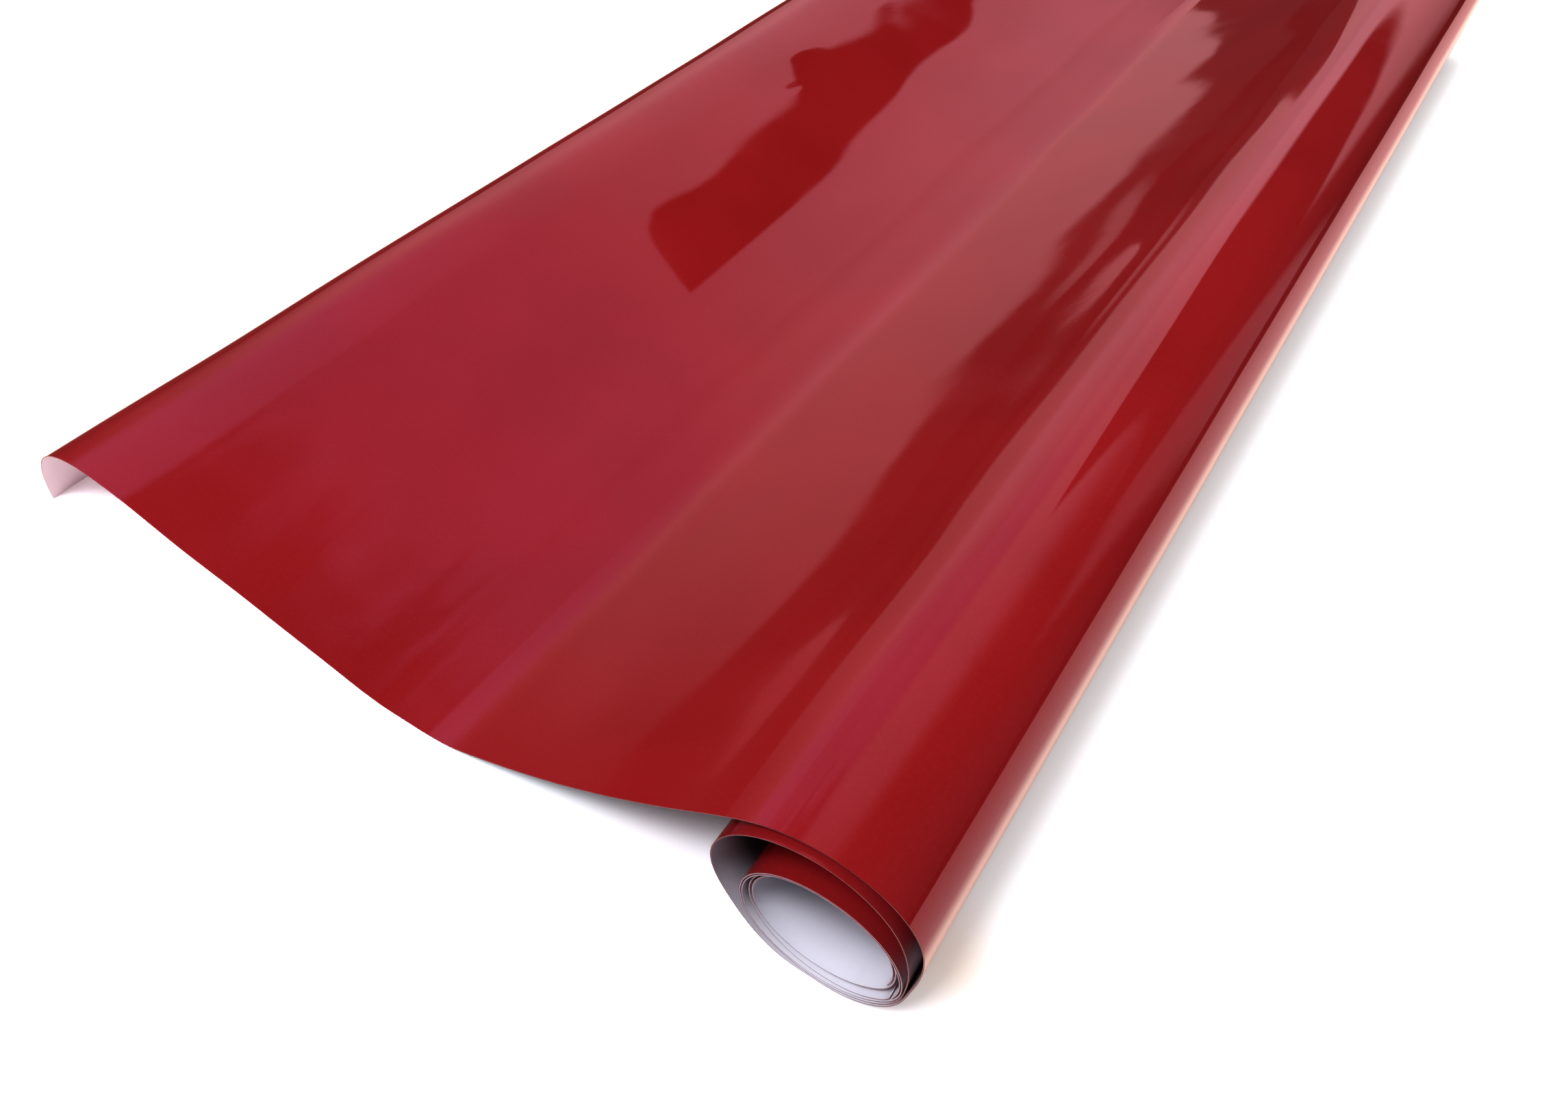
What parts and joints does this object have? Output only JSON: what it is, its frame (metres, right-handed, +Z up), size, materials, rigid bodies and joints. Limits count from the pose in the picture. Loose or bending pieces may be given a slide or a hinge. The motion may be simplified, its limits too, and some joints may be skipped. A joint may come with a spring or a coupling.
{
  "type": "roll of sign vinyl",
  "caption": "Coreless, part-unrolled roll of glossy burgundy sign vinyl on a white release liner; the free leaf lifts, curls, peels, and the coil telescopes and winds.",
  "frame": {"origin": "on the axis of the coil's bore, at mid-width of the web", "axes": "+Y along the roll's axis and the web's width, +Z up, the free leaf runs towards -X; the table is 21.9 mm below the origin"},
  "size_m": [0.3214, 0.613, 0.0612],
  "materials": {
    "face_film": "high gloss, burgundy",
    "adhesive_coat": "clear, tacky",
    "release_liner": "silicone-coated paper, satin"
  },
  "bodies": {
    "outer_wraps": {"inner_loop_film": "face_film", "inner_loop_adhesive": "adhesive_coat", "inner_loop_liner": "release_liner", "outer_loop_film": "face_film", "outer_loop_adhesive": "adhesive_coat", "outer_loop_liner": "release_liner"},
    "coil_jacket": {"coil_jacket_film": "face_film", "coil_jacket_adhesive": "adhesive_coat", "coil_jacket_liner": "release_liner"},
    "coil_core": {"coil_core_film": "face_film", "coil_core_adhesive": "adhesive_coat", "coil_core_liner": "release_liner"},
    "leaf_near": {"leaf_near_film": "face_film", "leaf_near_adhesive": "adhesive_coat", "leaf_near_liner": "release_liner"},
    "leaf_rest": {"leaf_rest_film": "face_film", "leaf_rest_adhesive": "adhesive_coat", "leaf_rest_liner": "release_liner"},
    "leaf_rise": {"leaf_rise_film": "face_film", "leaf_rise_adhesive": "adhesive_coat", "leaf_rise_liner": "release_liner"},
    "leaf_crest": {"leaf_crest_film": "face_film", "leaf_crest_adhesive": "adhesive_coat", "leaf_crest_liner": "release_liner"},
    "curl": {"curl_film": "face_film", "curl_adhesive": "adhesive_coat", "curl_liner": "release_liner"},
    "film_flap": {"flap_film": "face_film", "flap_adhesive": "adhesive_coat"}
  },
  "joints": [
    {"name": "leaf_lift", "type": "hinge", "parent": "outer_wraps", "child": "leaf_near", "pos_m": [-0.0401, 0, 0.01899], "axis": [0, 1, 0], "range_deg": [0, 20]},
    {"name": "leaf_bend_rest", "type": "hinge", "parent": "leaf_near", "child": "leaf_rest", "pos_m": [-0.08391, 0, -0.00652], "axis": [0, 1, 0], "range_deg": [0, 20]},
    {"name": "leaf_bend_rise", "type": "hinge", "parent": "leaf_rest", "child": "leaf_rise", "pos_m": [-0.15371, 0, -0.01943], "axis": [0, 1, 0], "range_deg": [0, 20]},
    {"name": "leaf_bend_crest", "type": "hinge", "parent": "leaf_rise", "child": "leaf_crest", "pos_m": [-0.21503, 0, -0.00139], "axis": [0, 1, 0], "range_deg": [0, 20]},
    {"name": "curl_open", "type": "hinge", "parent": "leaf_crest", "child": "curl", "pos_m": [-0.25679, 0, 0.00969], "axis": [0, 1, 0], "range_deg": [-20, 45]},
    {"name": "film_peel", "type": "hinge", "parent": "curl", "child": "film_flap", "pos_m": [-0.27353, 0, 0.0079], "axis": [0, 1, 0], "range_deg": [0, 135]},
    {"name": "coil_telescope", "type": "slide", "parent": "outer_wraps", "child": "coil_jacket", "axis": [0, 1, 0], "range_m": [-0.02, 0.02]},
    {"name": "coil_wind", "type": "hinge", "parent": "coil_jacket", "child": "coil_core", "pos_m": [0, 0, 0], "axis": [0, 1, 0], "range_deg": [-90, 300]}
  ],
  "couplings": [
    {"joint": "leaf_bend_rest", "follows": "leaf_lift", "ratio": 1},
    {"joint": "leaf_bend_rise", "follows": "leaf_lift", "ratio": 1},
    {"joint": "leaf_bend_crest", "follows": "leaf_lift", "ratio": 1}
  ]
}
